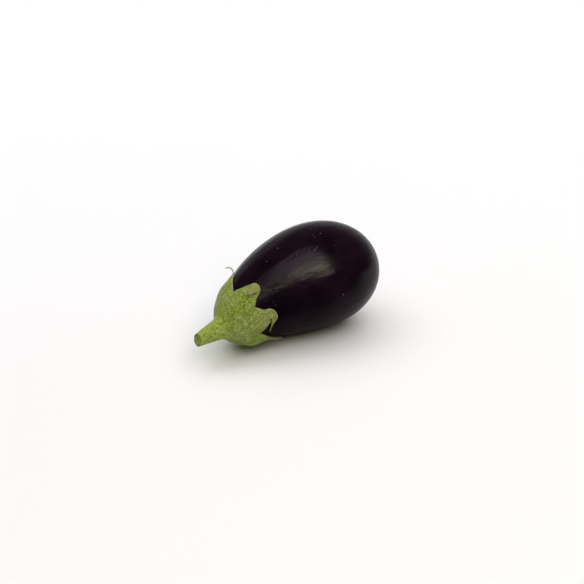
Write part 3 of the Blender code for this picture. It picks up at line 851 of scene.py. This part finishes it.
def makeCalyxMesh():
    form = calyxForm
    # columns bunch at the margins
    across = np.sin(np.linspace(-math.pi / 2, math.pi / 2, form["across"] + 1))
    points, faces = [], []
    marks = {name: [] for name in ("margin", "under", "cut", "stem", "dry", "fold", "downy")}
    grain = []

    def put(block, theta, along, **values):
        flat = np.asarray(block).reshape(-1, 3)
        first = sum(len(old) for old in points)
        points.append(flat)
        theta, along = (np.broadcast_to(value, block.shape[:-1]).ravel() for value in (theta, along))
        grain.append(np.stack((np.cos(theta), np.sin(theta), along), axis=-1))
        for name in marks:
            marks[name].append(np.broadcast_to(values.get(name, 0.0), block.shape[:-1]).ravel())
        return np.arange(first, first + len(flat)).reshape(block.shape[:-1])

    def quads(numbers):
        a, b, c, d = numbers[:-1, :-1], numbers[:-1, 1:], numbers[1:, 1:], numbers[1:, :-1]
        faces.extend(np.stack((a, b, c, d), axis=-1).reshape(-1, 4).tolist())

    pairs = list(zip(lobes, lobes[1:] + lobes[:1]))
    sheets = [lobeFaces(*pair, across) for pair in pairs]
    bases = np.repeat([lobeBase(*pair) for pair in pairs], form["across"])
    ringAcross = np.concatenate([across[:-1]] * len(lobes))
    ringPlump = np.repeat([lobe["plump"] for lobe in lobes], form["across"])
    ringAt, ringTheta = (np.concatenate(part) for part in zip(*(valley(*pair, across[:-1]) for pair in pairs)))
    count = len(ringTheta)
    ringInside = (1 - np.abs(ringAcross)) * bases

    # the ring that all lobes stand on
    marginMm = ringInside / mm
    base = skinPoint(ringAt, ringTheta, form["gap"])
    underBase = put(base, ringTheta, ringAt, under=1.0, margin=marginMm)
    baseLift = form["gap"] + plainThickness(0.0, ringAcross) * roundedEdge(ringInside)
    baseLift = baseLift + rib(ringAcross * bases, 0.0) + bulge(ringPlump, ringAt, ringAcross)
    outerBase = put(skinPoint(ringAt, ringTheta, baseLift), ringTheta, ringAt, margin=marginMm, downy=1.0)

    for number, (under, outer, inside, share, theta) in enumerate(sheets):
        ring = [(number * form["across"] + column) % count for column in range(form["across"] + 1)]
        reach = lobes[number]["reach"]
        along = ringAt[ring] + share[1:] * reach
        share = share[1:]
        marginMm = np.minimum(inside[1:], (1 - share) * reach + 0.1 * mm) / mm
        # a dry lobe browns at its edges first
        edging = smoothStep(1.1, 0.3, marginMm) * smoothStep(0.1, 0.4, share)
        dry = lobes[number]["dry"] * np.maximum(0.7 * smoothStep(0.55, 1.0, share), 0.75 * edging)
        # a tan line just inside the outer edge of a turned lobe's elbow
        elbow = smoothStep(0.34, 0.42, share) * smoothStep(0.62, 0.52, share) * (across < 0)
        fold = (lobes[number]["pinch"] > 0) * elbow * np.exp(-(((marginMm - 1.4) / 0.5) ** 2))
        under = put(under[1:], theta[1:], along, under=1.0, margin=marginMm, dry=dry)
        outer = put(outer[1:], theta[1:], along, margin=marginMm, dry=dry, fold=0.8 * fold, downy=1.0)
        under = np.vstack((underBase[ring], under))
        outer = np.vstack((outerBase[ring], outer))
        quads(outer)
        quads(under[:, ::-1])
        quads(np.stack((under[:, 0], outer[:, 0]), axis=1))
        quads(np.stack((outer[:, -1], under[:, -1]), axis=1))
        quads(np.stack((outer[-1], under[-1]), axis=0))

    # outside of the cap, the stem and the cut, ring by ring
    rings = capRings(ringAt, ringTheta, ringAcross, bases, ringPlump)
    stemFrom = form["capRows"] * 0.8
    outside = [outerBase]
    for level, ring in enumerate(rings):
        onStem = smoothStep(stemFrom, form["capRows"] + form["filletRows"] + form["stemRows"] * 0.2, level)
        along = ringAt[0] - level * 0.8 * mm
        edge = np.where(level < form["capRows"], ringInside / mm + level * 0.5, 9.0)
        outside.append(put(ring, ringTheta, along, stem=onStem, margin=edge, downy=1.0))
    inward, middle = cutRings(ringTheta, ringAcross)
    for level, ring in enumerate(inward):
        share = (level + 1) / (len(inward) + 1)
        outside.append(put(ring, ringTheta, -20 * mm, stem=1.0, margin=9.0, cut=share))
    outside = np.array(outside)
    quads(np.hstack((outside, outside[:, :1]))[:, ::-1])
    pith = put(middle[None], 0.0, -20 * mm, stem=1.0, margin=9.0, cut=1.0)[0]

    # inside of the cap, which follows the fruit
    inner = [underBase]
    for row in range(1, form["innerRows"]):
        inner.append(put(skinPoint(ringAt * (1 - row / form["innerRows"]), ringTheta, form["gap"]),
                         ringTheta, ringAt, under=1.0, margin=9.0))
    inner = np.array(inner)
    quads(np.hstack((inner, inner[:, :1])))
    innerEnd = put(skinPoint(np.zeros(1), 0.0, form["gap"]), 0.0, 0.0, under=1.0, margin=9.0)[0]
    for ring, end in ((outside[-1], pith), (inner[-1], innerEnd)):
        closed = list(ring) + [ring[0]]
        faces.extend([int(a), int(b), int(end)] for a, b in zip(closed, closed[1:]))

    marks = {name: np.concatenate(values) for name, values in marks.items()}
    return np.concatenate(points), faces, np.concatenate(grain), marks


def makeCalyx():
    points, faces, grain, marks = makeCalyxMesh()
    mesh = bpy.data.meshes.new("calyx_with_stem")
    mesh.from_pydata(laid(points).tolist(), [], faces)
    for name, values in marks.items():
        mesh.attributes.new(name, "FLOAT", "POINT").data.foreach_set("value", values.astype(np.float32))
    directions = mesh.attributes.new("grain", "FLOAT_VECTOR", "POINT").data
    directions.foreach_set("vector", grain.astype(np.float32).ravel())
    roughen(mesh, marks)
    fixNormals(mesh)
    mesh.shade_smooth()
    mesh.materials.append(calyxMaterial())
    obj = bpy.data.objects.new("calyx_with_stem", mesh)
    bpy.context.scene.collection.objects.link(obj)
    return obj


def roughen(mesh, marks):
    # Gentle unevenness of the outside, from smooth noise, square to the surface
    amount = calyxForm["unevenness"]
    moved = []
    for vertex, downy in zip(mesh.vertices, marks["downy"]):
        swell = noise.noise(vertex.co * 190.0) + 0.5 * noise.noise(vertex.co * 460.0)
        moved.append(vertex.co + vertex.normal * (amount * swell * downy))
    for vertex, place in zip(mesh.vertices, moved):
        vertex.co = place


def fixNormals(mesh):
    bm = bmesh.new()
    bm.from_mesh(mesh)
    bmesh.ops.recalc_face_normals(bm, faces=bm.faces)
    bm.to_mesh(mesh)
    bm.free()


calyx = makeCalyx()
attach(calyx, "root")
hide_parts("calyx_and_stem")
print("calyx and stem:", len(calyx.data.polygons), "faces")


# Short grey down all over the outside of the calyx and stem
downForm = {
    "density": 1.3e6,           # hairs per square metre
    "length": 0.75 * mm,
    "radius": 0.028 * mm,
    "lean": 0.9,                # how far a hair may lean from upright, in radians
    "seed": 7,
    "green": (0.34, 0.41, 0.15),
    "grey": (0.55, 0.59, 0.33),
}


def downTree():
    tree, given = newTree("calyxDown", (
        ("Geometry", "NodeSocketGeometry"),
        ("Density", "NodeSocketFloat"),
        ("Hair Length", "NodeSocketFloat"),
        ("Hair Radius", "NodeSocketFloat"),
        ("Lean", "NodeSocketFloat"),
        ("Seed", "NodeSocketInt"),
        ("Down", "NodeSocketMaterial"),
    ))
    downy = addNode(tree, "GeometryNodeInputNamedAttribute", {"Name": "downy"}, data_type="FLOAT")
    density = times(tree, given["Density"], downy.outputs["Attribute"])
    scatter = addNode(tree, "GeometryNodeDistributePointsOnFaces", {
        "Mesh": given["Geometry"], "Density": density, "Seed": given["Seed"],
    }).outputs

    hair = addNode(tree, "GeometryNodeMeshCone", {
        "Vertices": 3, "Side Segments": 2,
        "Radius Bottom": given["Hair Radius"], "Depth": given["Hair Length"],
    }, fill_type="NGON").outputs["Mesh"]
    back = times(tree, given["Lean"], -1.0)
    least, most = joined(tree, back, back, 0.0), joined(tree, given["Lean"], given["Lean"], 6.28)
    lean = {0: least, 1: most, "Seed": given["Seed"]}
    lean = addNode(tree, "FunctionNodeRandomValue", lean, data_type="FLOAT_VECTOR").outputs["Value"]
    turn = {0: scatter["Rotation"], 1: lean}
    turn = addNode(tree, "FunctionNodeRotateRotation", turn, rotation_space="LOCAL").outputs[0]
    size = {2: 0.45, 3: 1.15, "Seed": given["Seed"]}
    size = addNode(tree, "FunctionNodeRandomValue", size, data_type="FLOAT").outputs[1]
    place = addNode(tree, "GeometryNodeInstanceOnPoints", {
        "Points": scatter["Points"], "Instance": hair, "Rotation": turn, "Scale": size,
    })
    finishTree(tree, place.outputs[0], given["Down"])
    return tree


def makeDown():
    return meshFromTree("calyx_down", downTree(), {
        "Density": downForm["density"],
        "Hair Length": downForm["length"],
        "Hair Radius": downForm["radius"],
        "Lean": downForm["lean"],
        "Seed": downForm["seed"],
        "Down": downMaterial(),
    }, start=calyx.data.copy())


down = makeDown()
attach(down, "root")
print("down:", len(down.data.polygons), "faces")


# Studio: a pale floor, one long overhead softbox, a broad fill and a pale wall behind. Distances in metres.
studio = {
    "floorSize": 9.0,
    "floorColour": (0.885, 0.890, 0.900),
    "boxHeight": 1.0,
    "boxX": (-0.57, 0.07),
    "boxY": (-2.40, 0.12),
    "boxGlow": 5.8,             # radiance of its brightest part, near its front end
    "boxTint": (1.0, 0.90, 0.70),
    "farGlow": 1.5,             # radiance straight overhead
    "farTint": (1.0, 0.87, 0.98),
    "fillHeight": 3.4,
    "fillMiddle": (0.35, 0.45),
    "fillSize": 6.5,
    "fillGlow": 2.06,
    "wallGlow": 0.40,
    "roomGlow": 0.02,
    "cardSize": 5.0,
    "cardDark": 0.01,
    "cardPale": 0.52,
}


def plainSheet(name, corners, material):
    mesh = bpy.data.meshes.new(name)
    mesh.from_pydata(corners, [], [tuple(range(len(corners)))])
    mesh.materials.append(material)
    obj = bpy.data.objects.new(name, mesh)
    bpy.context.scene.collection.objects.link(obj)
    return obj


def sheetCorners(lowX, highX, lowY, highY, z):
    return [(lowX, lowY, z), (highX, lowY, z), (highX, highY, z), (lowX, highY, z)]


def makeFloor():
    material, tree, shader = newMaterial("paleFloor")
    colour = (*studio["floorColour"], 1.0)
    setInputs(tree, shader, {"Base Color": colour, "Roughness": 0.9, "Specular IOR Level": 0.1})
    half = studio["floorSize"] / 2
    plainSheet("floor", sheetCorners(-half, half, -half, half, 0.0), material)


def makeCard():
    # A card just above the floor, seen only by reflections: black in front of the fruit, grey to its right
    material, tree, shader = newMaterial("reflectedCard")
    x, y, _ = coordinates(tree, objectPlace(tree))
    shade = ramp(tree, maths(tree, "ADD", x, y), -0.12, 0.03, studio["cardDark"], studio["cardPale"])
    setInputs(tree, shader, {"Base Color": joined(tree, shade, shade, shade), "Roughness": 1.0})
    half = studio["cardSize"] / 2
    card = plainSheet("reflectedCard", sheetCorners(-half, half, -half, half, 0.5 * mm), material)
    for ray in ("camera", "diffuse", "transmission", "volume_scatter", "shadow"):
        setattr(card, "visible_" + ray, False)


def makeSoftbox():
    # Glows most near its front end, cooler and dimmer overhead, and fades at its sides
    material, tree, shader = newMaterial("softbox")
    tree.nodes.remove(shader)
    x, y, _ = coordinates(tree, objectPlace(tree))
    (lowX, highX), (lowY, highY) = studio["boxX"], studio["boxY"]
    slanted = maths(tree, "MULTIPLY_ADD", x, 1.3, y)  # its front end is cut aslant
    sides = times(tree, ramp(tree, x, lowX, lowX + 0.28), ramp(tree, x, highX, highX - 0.16))
    ends = times(tree, ramp(tree, slanted, -2.25, -1.60), ramp(tree, y, highY, highY - 0.25))
    front = ramp(tree, y, -0.25, -0.85)
    glow = ramp(tree, y, -0.20, -1.10, studio["farGlow"], studio["boxGlow"])
    tint = blendColours(tree, front, studio["farTint"], studio["boxTint"])
    glow = times(tree, glow, times(tree, sides, ends))
    emission = addNode(tree, "ShaderNodeEmission", {"Color": tint, "Strength": glow})
    setInputs(tree, tree.nodes["Material Output"], {"Surface": emission.outputs[0]})
    plainSheet("softbox", sheetCorners(lowX, highX, lowY, highY, studio["boxHeight"]), material)


def makeFill():
    # A broad level panel that reflections don't see. Its power follows from its radiance and area.
    data = bpy.data.lights.new("broadFill", "AREA")
    data.size = studio["fillSize"]
    data.energy = studio["fillGlow"] * math.pi * studio["fillSize"] ** 2
    fill = bpy.data.objects.new("broadFill", data)
    fill.location = (*studio["fillMiddle"], studio["fillHeight"])
    fill.visible_glossy = False
    bpy.context.scene.collection.objects.link(fill)


def makeWorld():
    # A pale wall behind the fruit that fades upwards, and a dark room in front of it
    world = bpy.data.worlds.new("studio")
    world.use_nodes = True
    tree = world.node_tree
    direction = addNode(tree, "ShaderNodeTexCoord").outputs["Generated"]
    behind = ramp(tree, vectorMaths(tree, "DOT_PRODUCT", direction, (0.64, 0.77, 0.0)), 0.25, 0.95)
    fade = ramp(tree, coordinates(tree, direction)[2], 0.95, 0.05)
    glow = times(tree, times(tree, behind, fade), studio["wallGlow"])
    glow = maths(tree, "ADD", glow, studio["roomGlow"])
    setInputs(tree, tree.nodes["Background"], {"Color": (1.0, 1.0, 1.0, 1.0), "Strength": glow})
    bpy.context.scene.world = world


def makeStudio():
    makeFloor()
    makeCard()
    makeSoftbox()
    makeFill()
    makeWorld()
    bpy.context.scene.view_settings.view_transform = "Standard"


makeStudio()
print("studio lit")
